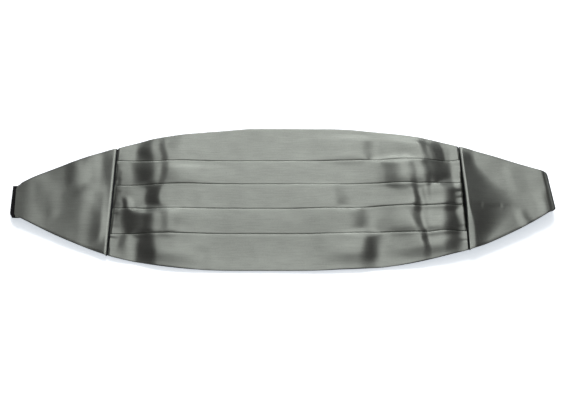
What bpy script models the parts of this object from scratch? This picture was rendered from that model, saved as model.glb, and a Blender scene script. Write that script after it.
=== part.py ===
"""A pleated satin cummerbund, fastened into a loop and lying flat with its front up.

Metres, +Z up. X runs along the garment and Y towards its top hem. Z = 0 is the surface that it lies on,
and the origin is the middle of its underside. The satin front lies on a backing. The elastic strap leaves
the left tip, turns under it, and runs beneath the backing to a hook that holds the right wing's end.
"""

import math
from collections import namedtuple

import bmesh
import bpy
from mathutils import Vector

NAME = "cummerbund"

# Walls, and the clearances between pieces that touch
SATIN = 0.0010
WING_SATIN = 0.0012
LINING = 0.0010
ELASTIC = 0.0010
PLATE = 0.0010
GAP = 0.0003
LAP_GAP = 0.0004
EDGE_ROUND = 0.00028

# The front panel between its two seams
HALF_HEIGHT = 0.0675
PANEL_MIDDLE = 0.0040
LEFT_SEAM = -0.1485
RIGHT_SEAM = 0.1565
HEM_STRAIGHT = 0.0300

# Pleats: the folded top edges of bands 2 to 5, and how far each laps the band above
PLEATS = 5
FIRST_FOLD = 0.0345
PLEAT_PITCH = 0.0232
LAP = 0.0080
LAP_HELD = 0.0090
LAP_FALL = 0.0080
PLEAT_ROWS = (0.0, 0.10, 0.29, 0.44, 0.62, 1.0)
FOLDED_FROM = 0.0980
CLOSE_STEP = 0.0050
OPEN_TO = 0.0740
OPEN_STEP = 0.0250

# Each half of the garment: the radius of each hem's arc on the panel, then the hem's slope on the wing
# and how fast that steepens
Half = namedtuple("Half", "side seam tip top_arc top_slope top_turn bottom_arc bottom_slope bottom_turn")
LEFT = Half(-1, LEFT_SEAM, -0.2301, 0.385, 0.315, 2.10, 0.590, 0.353, 0.90)
RIGHT = Half(1, RIGHT_SEAM, 0.2263, 0.362, 0.340, 0.30, 0.450, 0.318, 2.05)
SEAM_RISE = 0.0014
SEAM_RISE_REACH = 0.0250
WING_STEP = 0.0060
BACK_INSET = 0.0008
BACK_FLAT_TO = 0.0860
BACK_STEP = 0.0085

# Both ends are cut at a slant: how far the edge moves along X for each metre up, and from where
LEFT_SLANT = -0.070
STRAP_SLANT = -0.035
STRAP_SKEW = 0.0026
STRAP_SKEW_FROM = 0.0500
STRAP_SKEW_RUN = 0.1700
RIGHT_SLANT = -0.085
SLANT_FROM = 0.1850

# How high the backing's underside is held along the garment: the bends spring both ends up
Lift = namedtuple("Lift", "x z")
LIFTS = (
    Lift(-0.2350, 0.0077),
    Lift(-0.2200, 0.0070),
    Lift(-0.2030, 0.0052),
    Lift(-0.1750, 0.0040),
    Lift(-0.1640, 0.0029),
    Lift(-0.1490, 0.0022),
    Lift(-0.1280, 0.0004),
    Lift(-0.1120, 0.0000),
    Lift(0.0800, 0.0000),
    Lift(0.1000, 0.0006),
    Lift(0.1200, 0.0022),
    Lift(0.1360, 0.0041),
    Lift(0.1480, 0.0053),
    Lift(0.1580, 0.0063),
    Lift(0.1680, 0.0070),
    Lift(0.1860, 0.0078),
    Lift(0.2030, 0.0085),
    Lift(0.2150, 0.0095),
    Lift(0.2278, 0.0108),
)

# Soft upright ridges in the cloth: two ends of each crest, its reach to each side, and its height
Ridge = namedtuple("Ridge", "x_low y_low x_high y_high reach height")
PANEL_RIDGES = (
    Ridge(-0.106, -0.070, -0.114, 0.070, 0.015, 0.0026),
    Ridge(0.136, -0.070, 0.122, 0.070, 0.018, 0.0030),
    Ridge(0.116, -0.070, 0.108, 0.070, 0.010, 0.0012),
)
WING_RIDGES = (
    Ridge(-0.200, -0.022, -0.186, 0.026, 0.013, 0.0010),
    Ridge(-0.166, -0.030, -0.176, 0.024, 0.013, 0.0012),
    Ridge(0.190, -0.028, 0.200, 0.020, 0.014, 0.0012),
    Ridge(0.172, 0.000, 0.176, 0.030, 0.010, 0.0010),
)
RIDGE_FADE = 0.0080

# The elastic strap under the backing, and the crown that it makes in the cloth above it
STRAP_HALF = 0.0150
STRAP_SEWN_END = -0.2070
SEWN_GAP = 0.0004
SEWN_STEP = 0.0050
TIGHT_TURN = 0.0008
EASY_TURN = 0.0030
LOOP_OPENS = 0.0090
LOOP_OPEN = 0.0040
LONGEST_STEP = 0.0400
LEFT_END = -0.2356
RIGHT_END = 0.2325
LEFT_TIP_MIDDLE = -0.0069
RIGHT_TIP_MIDDLE = 0.0015
CROWN = 0.0014
CROWN_FLAT = 0.0165
CROWN_REACH = 0.0300
CROWN_FADE = 0.0026

# The slider: a plate with two slots, its middle bar holding the strap's end
SLIDER_X = 0.1680
SLIDER_LENGTH = 0.0160
SLIDER_WIDTH = 0.0380
SLIDER_WALL = 0.0012
SLIDER_BAR = 0.0028
SLOT_WIDTH = 0.0315
SLIDER_SLOT = 0.0036
SLIDER_Z = 0.0026
PLATE_ROUND = 0.0003
CUT_PAST = 0.0020

# The hook: a slotted plate on the strap's loop, with a tongue that curls over the eye
HOOK_BAR_X = 0.1920
HOOK_BAR = 0.0030
HOOK_SLOT = 0.0030
HOOK_NECK_X = 0.2000
TONGUE_HALF = 0.0070
TONGUE_LIP = 0.0030

# The eye: a wire loop round the hook's tongue and in the fold of the right wing's end
WIRE = 0.0016
EYE_LEFT_X = 0.2060
EYE_RIGHT_X = 0.2130
EYE_HALF_WIDTH = 0.0175
EYE_CORNER = 0.0020
WING_TAIL_HALF = 0.0150
WING_TAIL_RESTS = 0.2185
WING_TAIL_END = 0.2220
BACK_TAIL_END = 0.2249


def mix(low, high, share):
    return low + (high - low) * share


def ease(share):
    """0 to 1, with no slope at either end."""
    share = min(1.0, max(0.0, share))
    return share * share * (3.0 - 2.0 * share)


# ---------------------------------------------------------------- the form that every layer follows


def lift(x):
    """Height of the backing's underside at x, on one smooth curve through LIFTS."""
    rows = LIFTS
    x = min(rows[-1].x, max(rows[0].x, x))
    first = max(i for i in range(len(rows) - 1) if rows[i].x <= x)

    def slope(i):
        before, after = rows[max(i - 1, 0)], rows[min(i + 1, len(rows) - 1)]
        return (after.z - before.z) / (after.x - before.x)

    start, end = rows[first], rows[first + 1]
    run = end.x - start.x
    t = (x - start.x) / run
    z = (
        start.z * (1 + 2 * t) * (1 - t) ** 2
        + end.z * t * t * (3 - 2 * t)
        + slope(first) * run * t * (1 - t) ** 2
        - slope(first + 1) * run * t * t * (1 - t)
    )
    return max(0.0, z)


def strap_middle(x):
    """The strap's own middle, which runs straight from one tip's middle to the other's."""
    return mix(LEFT_TIP_MIDDLE, RIGHT_TIP_MIDDLE, (x - LEFT_END) / (RIGHT_END - LEFT_END))


def crown(x, y):
    """How far the strap lifts the cloth over it, where nothing else holds the cloth up."""
    off = abs(y - strap_middle(x)) - CROWN_FLAT
    return CROWN * (1 - ease(off / CROWN_REACH)) * (1 - ease(lift(x) / CROWN_FADE))


def ridge_height(ridges, x, y):
    """Sum of the soft ridges near a point, each fading past its two ends."""
    total = 0.0
    for ridge in ridges:
        share = (y - ridge.y_low) / (ridge.y_high - ridge.y_low)
        centre = mix(ridge.x_low, ridge.x_high, share)
        past = max(ridge.y_low - y, y - ridge.y_high, 0.0)
        across = ease(1 - abs(x - centre) / ridge.reach)
        total += ridge.height * across * (1 - ease(past / RIDGE_FADE))
    return total


def arc_fall(x, radius):
    """How far a hem has come in at x on the panel: straight in the middle, then an arc."""
    across = max(0.0, abs(x - PANEL_MIDDLE) - HEM_STRAIGHT)
    return radius - math.sqrt(radius * radius - across * across)


def hem(travel, above):
    """Y of the top or bottom hem, where travel is X, counted on along the cloth past a bend."""
    half, tip_middle = (LEFT, LEFT_TIP_MIDDLE) if travel < PANEL_MIDDLE else (RIGHT, RIGHT_TIP_MIDDLE)
    on_panel = min(RIGHT_SEAM, max(LEFT_SEAM, travel))
    out = max(0.0, half.side * (travel - half.seam))
    if above:
        fall = arc_fall(on_panel, half.top_arc) + half.top_slope * out + half.top_turn * out * out
        return max(HALF_HEIGHT - fall, tip_middle + WING_TAIL_HALF)
    fall = arc_fall(on_panel, half.bottom_arc) + half.bottom_slope * out + half.bottom_turn * out * out
    return min(fall - HALF_HEIGHT, tip_middle - WING_TAIL_HALF)


def slanted(x, y, under=False):
    """X moved for the slant of the garment's two ends, on the upper layers or on those turned under."""
    if x < 0:
        return x + LEFT_SLANT * (y - LEFT_TIP_MIDDLE) * ease((-x - SLANT_FROM) / (-LEFT.tip - SLANT_FROM))
    start = EYE_RIGHT_X if under else SLANT_FROM
    return x + RIGHT_SLANT * (y - RIGHT_TIP_MIDDLE) * ease((x - start) / (RIGHT.tip - start))


# ---------------------------------------------------------------- making objects


def make_material(name, colour, roughness, metallic):
    material = bpy.data.materials.new(name)
    material.use_nodes = True
    shader = material.node_tree.nodes["Principled BSDF"]
    shader.inputs["Base Color"].default_value = (*colour, 1.0)
    shader.inputs["Roughness"].default_value = roughness
    shader.inputs["Metallic"].default_value = metallic
    return material


def make_object(name, bm, material, collection):
    mesh = bpy.data.meshes.new(name)
    bm.to_mesh(mesh)
    bm.free()
    mesh.shade_smooth()
    mesh.set_sharp_from_angle(angle=math.radians(40))
    if material:
        mesh.materials.append(material)
    made = bpy.data.objects.new(name, mesh)
    collection.objects.link(made)
    return made


def make_sheet(name, stations, rows, place, wall, material, collection, edge_round=0.0):
    """Cloth or plate: a grid of stations by rows, each point put by place(station, share)."""
    bm = bmesh.new()
    columns = len(stations) - 1
    bmesh.ops.create_grid(bm, x_segments=columns, y_segments=len(rows) - 1, size=0.5)
    for vert in bm.verts:
        column = round((vert.co.x + 0.5) * columns)
        row = round((vert.co.y + 0.5) * (len(rows) - 1))
        vert.co = place(stations[column], rows[row])
    made = make_object(name, bm, material, collection)
    solidify = made.modifiers.new("Wall", "SOLIDIFY")
    solidify.thickness = wall
    solidify.offset = 0.0
    solidify.use_even_offset = True
    if edge_round:
        bevel = made.modifiers.new("Rounded edges", "BEVEL")
        bevel.width = edge_round
        bevel.segments = 1
        bevel.limit_method = "ANGLE"
        bevel.angle_limit = math.radians(60)
    return made


def even_rows(count):
    return [i / count for i in range(count + 1)]


def spaced(start, end, step):
    """Even stations from start to end, about a step apart."""
    count = max(1, round(abs(end - start) / step))
    return [mix(start, end, i / count) for i in range(count + 1)]


def arc(centre, radius, start, end, count):
    """Points on an arc in the X-Z plane, between two angles in degrees, the first one left out."""
    turned = [math.radians(mix(start, end, i / count)) for i in range(1, count + 1)]
    return [(centre[0] + radius * math.cos(a), centre[1] + radius * math.sin(a)) for a in turned]


def rounded(corners, count=3):
    """A path in the X-Z plane through (x, z, radius) corners, each rounded by an arc."""
    points = [corners[0][:2]]
    for before, corner, after in zip(corners, corners[1:], corners[2:]):
        here = Vector(corner[:2])
        inward = (Vector(before[:2]) - here).normalized()
        outward = (Vector(after[:2]) - here).normalized()
        half = inward.angle(outward) / 2
        reach = corner[2] / math.tan(half)
        centre = here + (inward + outward).normalized() * (corner[2] / math.sin(half))
        first = here + inward * reach - centre
        turn = first.angle_signed(here + outward * reach - centre)
        for i in range(count + 1):
            angle = math.atan2(first.y, first.x) - turn * i / count
            points.append((centre.x + corner[2] * math.cos(angle), centre.y + corner[2] * math.sin(angle)))
    points.append(corners[-1][:2])
    return points


def box(name, low, high, collection, material=None):
    bm = bmesh.new()
    bmesh.ops.create_cube(bm, size=1.0)
    size = Vector(high) - Vector(low)
    middle = (Vector(high) + Vector(low)) / 2
    for vert in bm.verts:
        vert.co = Vector(a * b for a, b in zip(vert.co, size)) + middle
    return make_object(name, bm, material, collection)


def cut(target, name, low, high, cutters):
    """Cut a box out of an object."""
    cutter = box(name, low, high, cutters)
    cutter.hide_render = True
    cutter.display_type = "WIRE"
    boolean = target.modifiers.new(name, "BOOLEAN")
    boolean.operation = "DIFFERENCE"
    boolean.object = cutter


# ---------------------------------------------------------------- the cloth


def front_base(wall):
    """Height of a front piece's middle above the backing's underside, where it lies on the backing."""
    return LINING + GAP + wall / 2


def pleat_edges(number, x):
    """The two long edges of a band: its folded top, and its bottom, hidden under the next band."""
    fold = FIRST_FOLD - PLEAT_PITCH * (number - 2)
    top = hem(x, above=True) if number == 1 else fold
    bottom = hem(x, above=False) if number == PLEATS else fold - PLEAT_PITCH - LAP
    return top, bottom


def make_pleats(satin, collection):
    left, right = LEFT_SEAM + GAP / 2, RIGHT_SEAM - GAP / 2
    stations = spaced(left, -FOLDED_FROM, CLOSE_STEP) + spaced(-OPEN_TO, OPEN_TO, OPEN_STEP)
    stations += spaced(FOLDED_FROM, right, CLOSE_STEP)
    for number in range(1, PLEATS + 1):

        def place(x, share, number=number):
            top, bottom = pleat_edges(number, x)
            y = mix(top, bottom, share)
            down = top - y
            lapping = 0.0 if number == 1 else SATIN + LAP_GAP
            raised = lapping * (1 - ease((down - LAP_HELD) / LAP_FALL))
            z = lift(x) + crown(x, y) + front_base(SATIN) + raised + ridge_height(PANEL_RIDGES, x, y)
            return Vector((x, y, z))

        make_sheet(f"pleat_{number}", stations, PLEAT_ROWS, place, SATIN, satin, collection, EDGE_ROUND)


def right_bend(inset):
    """Centre and radius of the turn that rolls the right end under, at a depth inside the satin."""
    top = lift(RIGHT.tip) + front_base(WING_SATIN)
    bottom = WING_SATIN / 2
    return (RIGHT.tip, (top + bottom) / 2), (top - bottom) / 2 - inset


def cloth_route(flat, turned):
    """Stations (x, z, travel, share on top) along a piece that lies flat and then turns under."""
    points = flat + turned
    travel = flat[0][0]
    route = []
    for i, point in enumerate(points):
        travel += math.dist(points[i - 1], point) if i else 0.0
        route.append((*point, travel, 1.0 if i < len(flat) else 0.0))
    return route


def make_wings(satin, collection):
    def wing_z(x, seam):
        near = 1 - ease(abs(x - seam) / SEAM_RISE_REACH)
        return lift(x) + front_base(WING_SATIN) + SEAM_RISE * near

    def place(station, share):
        x, z, travel, on_top = station
        y = mix(hem(travel, above=False), hem(travel, above=True), share)
        return Vector((slanted(x, y, under=not on_top), y, z + on_top * ridge_height(WING_RIDGES, x, y)))

    left = [(x, wing_z(x, LEFT_SEAM), x, 1.0) for x in spaced(LEFT_SEAM - GAP / 2, LEFT.tip, WING_STEP)]
    make_sheet("wing_left", left, even_rows(8), place, WING_SATIN, satin, collection, EDGE_ROUND)

    flat = [(x, wing_z(x, RIGHT_SEAM)) for x in spaced(RIGHT_SEAM + GAP / 2, RIGHT.tip, WING_STEP)]
    centre, radius = right_bend(0.0)
    bar = (EYE_RIGHT_X, WING_SATIN + GAP + WIRE / 2)
    fold = WING_SATIN / 2 + GAP + WIRE / 2
    resting = WING_SATIN * 1.5 + GAP
    turned = arc(centre, radius, 90, -90, 8) + [(EYE_RIGHT_X, WING_SATIN / 2)]
    turned += arc(bar, fold, 270, 90, 6) + [(WING_TAIL_RESTS, resting), (WING_TAIL_END, resting)]
    route = cloth_route(flat, turned)
    make_sheet("wing_right", route, even_rows(8), place, WING_SATIN, satin, collection, EDGE_ROUND)


def make_back(lining, collection):
    def place(station, share):
        x, z, travel, on_top = station
        low = hem(travel, above=False) + BACK_INSET
        high = hem(travel, above=True) - BACK_INSET
        y = mix(low, high, share)
        return Vector((slanted(x, y, under=not on_top), y, z + on_top * crown(x, y)))

    xs = spaced(LEFT.tip + BACK_INSET, -BACK_FLAT_TO, BACK_STEP) + [-BACK_FLAT_TO / 2, 0.0]
    xs += [BACK_FLAT_TO / 2] + spaced(BACK_FLAT_TO, RIGHT.tip, BACK_STEP)
    flat = [(x, lift(x) + LINING / 2) for x in xs]
    inset = WING_SATIN / 2 + GAP + LINING / 2
    centre, radius = right_bend(inset)
    turned = arc(centre, radius, 90, -90, 6) + [(BACK_TAIL_END, centre[1] - radius)]
    make_sheet("back", cloth_route(flat, turned), even_rows(12), place, LINING, lining, collection)


# ---------------------------------------------------------------- the strap and its fastening


def strap_route():
    """Side view of the strap, from its sewn end under the left tip to its end round the slider."""
    under = ELASTIC / 2
    clear = GAP + ELASTIC / 2
    layer = ELASTIC + GAP
    top = lift(LEFT.tip) - SEWN_GAP - ELASTIC / 2
    radius = (top - under) / 2
    centre = (LEFT_END + radius + ELASTIC / 2, under + radius)
    sewn_from = centre[0] + SEWN_STEP / 2
    sewn = [(x, lift(x) - SEWN_GAP - ELASTIC / 2) for x in spaced(STRAP_SEWN_END, sewn_from, SEWN_STEP)]
    bend = [(centre[0], top)] + arc(centre, radius, 90, 270, 8)
    second = under + layer
    third = second + layer
    bar_left = SLIDER_X - SLIDER_BAR / 2 - clear
    bar_right = SLIDER_X + SLIDER_BAR / 2
    below_bar = SLIDER_Z - clear
    above_bar = SLIDER_Z + SLIDER_WALL + clear
    rise = bar_left - layer
    fall = bar_right + SLIDER_SLOT / 2
    turn = HOOK_BAR_X + HOOK_BAR / 2 + clear
    run = rounded([
        (centre[0] + SEWN_STEP / 2, under, 0.0),
        (rise, under, TIGHT_TURN),
        (rise, above_bar + layer, TIGHT_TURN),
        (fall, above_bar + layer, TIGHT_TURN),
        (fall, second, TIGHT_TURN),
        (HOOK_BAR_X - LOOP_OPENS, second, EASY_TURN),
        (HOOK_BAR_X - LOOP_OPEN, third, EASY_TURN),
        (turn, third, TIGHT_TURN),
        (turn, under, TIGHT_TURN),
        (bar_right + TIGHT_TURN * 2, under, TIGHT_TURN),
        (SLIDER_X, below_bar, TIGHT_TURN),
        (bar_left, below_bar, TIGHT_TURN),
        (bar_left, above_bar, TIGHT_TURN),
        (bar_right, above_bar, 0.0),
    ])
    return sewn + bend + run


def strap_shift(x, z, across):
    """How far a point of the strap's left bend moves: it slants, and its under run lies a little higher up."""
    out = ease((-x - SLANT_FROM) / (-LEFT_END - SLANT_FROM))
    below = 1 - min(1.0, max(0.0, z / lift(LEFT.tip)))
    return STRAP_SLANT * across * out, STRAP_SKEW * below * ease((-x - STRAP_SKEW_FROM) / STRAP_SKEW_RUN)


def make_strap(elastic, collection):
    corners = strap_route()
    route = [corners[0]]
    for before, after in zip(corners, corners[1:]):
        pieces = max(1, round(math.dist(before, after) / LONGEST_STEP))
        route += [Vector(before).lerp(Vector(after), i / pieces) for i in range(1, pieces + 1)]

    def place(station, share):
        x, z = station
        across = mix(-STRAP_HALF, STRAP_HALF, share)
        along, up = strap_shift(x, z, across)
        return Vector((x + along, strap_middle(x) + across + up, z))

    make_sheet("strap", route, even_rows(2), place, ELASTIC, elastic, collection)


def make_slider(metal, collection, cutters):
    middle = strap_middle(SLIDER_X)
    low = (SLIDER_X - SLIDER_LENGTH / 2, middle - SLIDER_WIDTH / 2, SLIDER_Z)
    high = (SLIDER_X + SLIDER_LENGTH / 2, middle + SLIDER_WIDTH / 2, SLIDER_Z + SLIDER_WALL)
    slider = box("slider", low, high, collection, metal)
    bevel = slider.modifiers.new("Rounded edges", "BEVEL")
    bevel.width = PLATE_ROUND
    bevel.segments = 2
    for side in (-1, 1):
        near = SLIDER_X + side * SLIDER_BAR / 2
        far = near + side * SLIDER_SLOT
        cut(
            slider,
            f"slider slot {side}",
            (min(near, far), middle - SLOT_WIDTH / 2, SLIDER_Z - CUT_PAST),
            (max(near, far), middle + SLOT_WIDTH / 2, SLIDER_Z + SLIDER_WALL + CUT_PAST),
            cutters,
        )


def make_hook(metal, collection, cutters):
    plate_z = ELASTIC + GAP + PLATE / 2
    eye_z = WING_SATIN + GAP + WIRE / 2
    curl = WIRE / 2 + GAP + PLATE / 2
    left = HOOK_BAR_X - HOOK_BAR / 2
    middle = strap_middle(HOOK_BAR_X)
    points = [
        (left, plate_z),
        (HOOK_NECK_X, plate_z),
        (EYE_LEFT_X - TONGUE_LIP, eye_z - curl),
        (EYE_LEFT_X, eye_z - curl),
    ]
    points += arc((EYE_LEFT_X, eye_z), curl, -90, 90, 6)
    points += [(EYE_LEFT_X - TONGUE_LIP, eye_z + curl)]
    half = SLIDER_WIDTH / 2

    def place(station, share):
        return Vector((station[0], middle + mix(-half, half, share), station[1]))

    hook = make_sheet("hook", points, even_rows(1), place, PLATE, metal, collection)
    slot_left = HOOK_BAR_X + HOOK_BAR / 2
    cut(
        hook,
        "hook slot",
        (slot_left, middle - SLOT_WIDTH / 2, plate_z - CUT_PAST),
        (slot_left + HOOK_SLOT, middle + SLOT_WIDTH / 2, plate_z + CUT_PAST),
        cutters,
    )
    for side in (-1, 1):
        near = middle + side * TONGUE_HALF
        far = middle + side * (half + CUT_PAST)
        cut(
            hook,
            f"hook shoulder {side}",
            (HOOK_NECK_X, min(near, far), -CUT_PAST),
            (EYE_RIGHT_X, max(near, far), eye_z + curl + CUT_PAST),
            cutters,
        )


def make_eye(metal, collection):
    centre_x = (EYE_LEFT_X + EYE_RIGHT_X) / 2
    half_x = (EYE_RIGHT_X - EYE_LEFT_X) / 2
    middle = strap_middle(centre_x)
    points = []
    corners = ((1, 1, 0), (-1, 1, 90), (-1, -1, 180), (1, -1, 270))
    for side_x, side_y, start in corners:
        corner = (
            centre_x + side_x * (half_x - EYE_CORNER),
            middle + side_y * (EYE_HALF_WIDTH - EYE_CORNER),
        )
        points += [Vector(corner) + EYE_CORNER * Vector((math.cos(a), math.sin(a)))
                   for a in (math.radians(start + 22.5 * i) for i in range(5))]
    curve = bpy.data.curves.new("eye", "CURVE")
    curve.dimensions = "3D"
    curve.bevel_depth = WIRE / 2
    curve.bevel_resolution = 2
    curve.resolution_u = 1
    curve.render_resolution_u = 0
    spline = curve.splines.new("POLY")
    spline.points.add(len(points) - 1)
    spline.use_cyclic_u = True
    for target, point in zip(spline.points, points):
        target.co = (*point, WING_SATIN + GAP + WIRE / 2, 1.0)
    curve.materials.append(metal)
    collection.objects.link(bpy.data.objects.new("eye", curve))


def main():
    for old in list(bpy.data.objects):
        bpy.data.objects.remove(old)
    collection = bpy.data.collections.new(NAME)
    cutters = bpy.data.collections.new("cutters")
    bpy.context.scene.collection.children.link(collection)
    bpy.context.scene.collection.children.link(cutters)

    satin = make_material("silver satin", (0.31, 0.33, 0.30), 0.35, 0.3)
    lining = make_material("charcoal lining", (0.03, 0.035, 0.045), 0.7, 0.0)
    elastic = make_material("black elastic", (0.012, 0.012, 0.014), 0.8, 0.0)
    metal = make_material("nickel plate", (0.55, 0.55, 0.54), 0.3, 1.0)

    make_back(lining, collection)
    make_pleats(satin, collection)
    make_wings(satin, collection)
    make_strap(elastic, collection)
    make_slider(metal, collection, cutters)
    make_hook(metal, collection, cutters)
    make_eye(metal, collection)


main()
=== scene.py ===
"""Looks of a pleated satin cummerbund, fastened into a loop and lying flat with its front up.

Metres, +Z up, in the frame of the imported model. X runs along the garment and Y towards its top hem.
Each cloth piece is a thin shell on the form of its own solid: folded satin pleats, satin wings with a
rolled seam edge, a lining backing, and the elastic strap under it.
"""

import math
from collections import namedtuple

import bmesh
import bpy
from bpy.props import FloatProperty, FloatVectorProperty, PointerProperty
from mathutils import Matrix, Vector, noise


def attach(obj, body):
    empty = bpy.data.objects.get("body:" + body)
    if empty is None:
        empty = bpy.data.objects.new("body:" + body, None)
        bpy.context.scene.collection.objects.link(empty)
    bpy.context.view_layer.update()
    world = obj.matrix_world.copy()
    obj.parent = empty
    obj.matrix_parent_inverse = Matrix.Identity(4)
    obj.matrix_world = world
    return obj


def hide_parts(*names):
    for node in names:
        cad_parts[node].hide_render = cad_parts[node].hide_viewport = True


bl_info = {
    "name": "Cummerbund",
    "version": (1, 0, 0),
    "blender": (4, 5, 0),
    "location": "View3D > Sidebar > Cummerbund",
    "description": "Builds the satin, lining, elastic and stage of a pleated cummerbund",
    "category": "Add Mesh",
}

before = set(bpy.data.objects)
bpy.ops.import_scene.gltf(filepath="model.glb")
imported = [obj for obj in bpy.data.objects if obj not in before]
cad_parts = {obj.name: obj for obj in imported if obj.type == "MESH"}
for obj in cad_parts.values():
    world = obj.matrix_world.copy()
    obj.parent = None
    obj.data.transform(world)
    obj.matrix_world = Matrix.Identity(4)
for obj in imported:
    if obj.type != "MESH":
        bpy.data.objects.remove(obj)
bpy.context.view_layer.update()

# Walls and clearances of the solids that the shells lie on
SATIN = 0.0010
WING_SATIN = 0.0012
LINING = 0.0010
ELASTIC = 0.0010
GAP = 0.0003
LAP_GAP = 0.0004

# The front panel between its two seams
HALF_HEIGHT = 0.0675
PANEL_MIDDLE = 0.0040
LEFT_SEAM = -0.1485
RIGHT_SEAM = 0.1565
HEM_STRAIGHT = 0.0300

# Pleats: the folded top edges of bands 2 to 5, and how far each laps the band above
PLEATS = 5
FIRST_FOLD = 0.0345
PLEAT_PITCH = 0.0232
LAP = 0.0080

# Each half of the garment: the radius of each hem's arc on the panel, then the hem's slope on the wing
# and how fast that steepens
Half = namedtuple("Half", "side seam tip top_arc top_slope top_turn bottom_arc bottom_slope bottom_turn")
LEFT = Half(-1, LEFT_SEAM, -0.2301, 0.385, 0.315, 2.10, 0.590, 0.353, 0.90)
RIGHT = Half(1, RIGHT_SEAM, 0.2263, 0.362, 0.340, 0.30, 0.450, 0.318, 2.05)

# Both ends are cut at a slant: how far in or out the end moves for each metre up, and from where
LEFT_SLANT = -0.070
STRAP_SLANT = -0.035
STRAP_SKEW = 0.0034
STRAP_SKEW_FROM = 0.0500
STRAP_SKEW_RUN = 0.1700
STRAP_CORNER = 0.0022
STRAP_CORNER_UP = 0.0045
STRAP_CORNER_RUN = 0.0030
STRAP_PIECE = 0.0100
TIP_ROUND = 0.0018
TIP_ROUND_REACH = 0.0035
TIP_ROUND_BELOW = 0.6
TIP_ROUND_RUN = 0.0055
RIGHT_SLANT = -0.085
SLANT_FROM = 0.1850

BACK_INSET = 0.0008
TAIL_HALF = 0.0150

# How high the backing's underside is held along the garment
Lift = namedtuple("Lift", "x z")
LIFTS = (
    Lift(-0.2350, 0.0077),
    Lift(-0.2200, 0.0070),
    Lift(-0.2030, 0.0052),
    Lift(-0.1750, 0.0040),
    Lift(-0.1640, 0.0029),
    Lift(-0.1490, 0.0022),
    Lift(-0.1280, 0.0004),
    Lift(-0.1120, 0.0000),
    Lift(0.0800, 0.0000),
    Lift(0.1000, 0.0006),
    Lift(0.1200, 0.0022),
    Lift(0.1360, 0.0041),
    Lift(0.1480, 0.0053),
    Lift(0.1580, 0.0063),
    Lift(0.1680, 0.0070),
    Lift(0.1860, 0.0078),
    Lift(0.2030, 0.0085),
    Lift(0.2150, 0.0095),
    Lift(0.2278, 0.0108),
)

# The cut of what shows of each cloth piece: along the garment, across it, and its area
Cut = namedtuple("Cut", "along across area")

# The strap, its slider, hook and eye
STRAP_HALF = 0.0150
STRAP_SEWN_END = -0.2070
SEWN_GAP = 0.0004
SEWN_STEP = 0.0050
TIGHT_TURN = 0.0008
EASY_TURN = 0.0030
LOOP_OPENS = 0.0090
LOOP_OPEN = 0.0040
LEFT_END = -0.2356
RIGHT_END = 0.2325
LEFT_TIP_MIDDLE = -0.0069
RIGHT_TIP_MIDDLE = 0.0015
CROWN = 0.0014
CROWN_FLAT = 0.0165
CROWN_REACH = 0.0300
CROWN_FADE = 0.0026
SLIDER_X = 0.1680
SLIDER_WALL = 0.0012
SLIDER_BAR = 0.0028
SLIDER_SLOT = 0.0036
SLIDER_Z = 0.0026
HOOK_BAR_X = 0.1920
HOOK_BAR = 0.0030
WIRE = 0.0016
EYE_RIGHT_X = 0.2130
WING_TAIL_RESTS = 0.2185
WING_TAIL_END = 0.2220
BACK_TAIL_END = 0.2249

# The cloth itself
CLOTH = 0.00034
FOLD = (SATIN - CLOTH) / 2
FOLD_SOFT = 0.00030
FOLD_SOFT_REACH = 0.0013
RETURN = 0.0120
COLUMN_STEP = 0.0010
WING_ROWS = 36
BACK_STEP = 0.0025
BACK_ROWS = 44
SEAM_PRESS = 0.35
SEAM_PRESS_REACH = 0.0007
SEAM_PRESS_MORE = 0.0010
SEAM_OPENS_REACH = 0.0060
SEAM_ROLL_WIDE = 0.0034
SEAM_ROLL_DEEP = 0.0023
TUCK_DIPS = (0.00130, 0.00110, 0.00095, 0.00085)
TUCK_REACH = 0.0013
TUCK_ROWS = (-0.0008, -0.0002, 0.0, 0.0002, 0.0004, 0.0006, 0.0008, 0.0011, 0.0015, 0.0020)
MEETS_SLOPE = 0.20
MEETS_REACH = 0.0048
SEAM_JOINS = 0.20
SEAM_JOINS_REACH = 0.0100
SEAM_DRAWN = 0.0005
SEAM_DRAWN_REACH = 0.0080
SEAM_DRAWN_AT = 0.0080
SEAM_DRAWN_HALF = 0.0100
SEAM_DRAWN_FADE = 0.0350
SEAM_MIDDLE = -0.0040
SEAM_MIDDLE_HALF = 0.0100
SEAM_MIDDLE_FADE = 0.0450
HEM_HOLDS = 0.45
TOP_HEM_FADE = 0.0100
LOW_HEM_FADE = 0.0140
LAP_SETTLES = 0.0200

# The camera, the table and the three nested parts of the softbox
CAMERA_ABOVE = math.radians(66.0)
CAMERA_LOOKS_AT = (0.0, -0.00305, 0.003)
CAMERA_AWAY = 0.6835
FLOOR_RADIUS = 30.0
FLOOR_BELOW = 0.0002
SOFTBOX_ABOVE = math.radians(69.5)
SOFTBOX_ASIDE = 0.065
SOFTBOX_DEEP = 1.55
Softbox = namedtuple("Softbox", "name away wide light")
SOFTBOX = (
    Softbox("softbox", 1.10, 0.85, 0.55), Softbox("softbox edge", 1.11, 1.2, 0.30),
    Softbox("softbox spill", 1.12, 1.6, 0.15))

# The left seam's light as a share of the right one's
LEFT_SEAM_LIGHT = 0.65

# The room round the table: pale walls up to a height, as shares of straight up, then dark
ROOM_PALE = (0.52, 0.53, 0.54, 1.0)
ROOM_DARK = (0.022, 0.016, 0.018, 1.0)
ROOM_PALE_FROM = 0.02
ROOM_PALE_TO = 0.36
ROOM_DARK_FROM = 0.50

# How far the pleats draw back from each seam, at its ends and in its middle
Gape = namedtuple("Gape", "ends middle")
LEFT_GAPE = Gape(0.0009, 0.0012)
RIGHT_GAPE = Gape(0.0006, 0.0003)

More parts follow.
